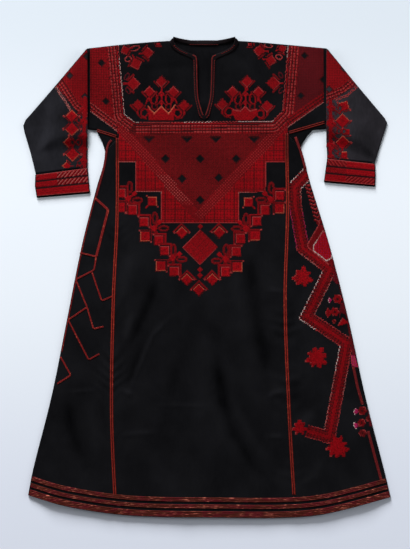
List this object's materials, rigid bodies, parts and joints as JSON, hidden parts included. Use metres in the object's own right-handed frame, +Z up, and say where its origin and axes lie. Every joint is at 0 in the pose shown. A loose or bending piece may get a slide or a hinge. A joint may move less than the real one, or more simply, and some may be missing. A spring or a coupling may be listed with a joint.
{
  "type": "embroidered dress",
  "caption": "Long-sleeved black cotton dress laid flat with folded sleeves, side gores, a slit neck, and red cross-stitch on the chest, sleeves and skirt.",
  "frame": {"origin": "on the surface that the dress lies on, under the middle of its box", "axes": "+Z up out of the front, +Y from the hem to the neck, +X to the onlooker's right as they look down on the front"},
  "size_m": [1.0724, 1.4032, 0.0149],
  "materials": {
    "black_cotton": "sateen-woven black cotton with a faint sheen",
    "silk_embroidery": "deep red cross-stitch thread, slightly glossy",
    "couched_braid": "orange-red twisted cord, couched down",
    "neck_binding": "black cotton strip with a red edge"
  },
  "bodies": {
    "root": {"front_panel": "black_cotton", "front_yoke": "black_cotton", "back_panel": "black_cotton", "front_gore_left": "black_cotton", "front_gore_right": "black_cotton", "back_gore_left": "black_cotton", "back_gore_right": "black_cotton", "gusset_left": "black_cotton", "gusset_right": "black_cotton", "sleeve_head_left": "black_cotton", "sleeve_head_right": "black_cotton", "sleeve_fold_left": "black_cotton", "sleeve_fold_right": "black_cotton", "forearm_left": "black_cotton", "forearm_right": "black_cotton", "cuff_left": "silk_embroidery", "cuff_right": "silk_embroidery", "seam_braid_left": "couched_braid", "seam_braid_right": "couched_braid", "underarm_braid_left": "couched_braid", "underarm_braid_right": "couched_braid", "hem_braid_lower": "couched_braid", "hem_braid_middle": "couched_braid", "hem_braid_upper": "couched_braid", "neck_binding_left": "neck_binding", "neck_binding_right": "neck_binding", "neck_binding_back": "neck_binding"}
  },
  "joints": []
}
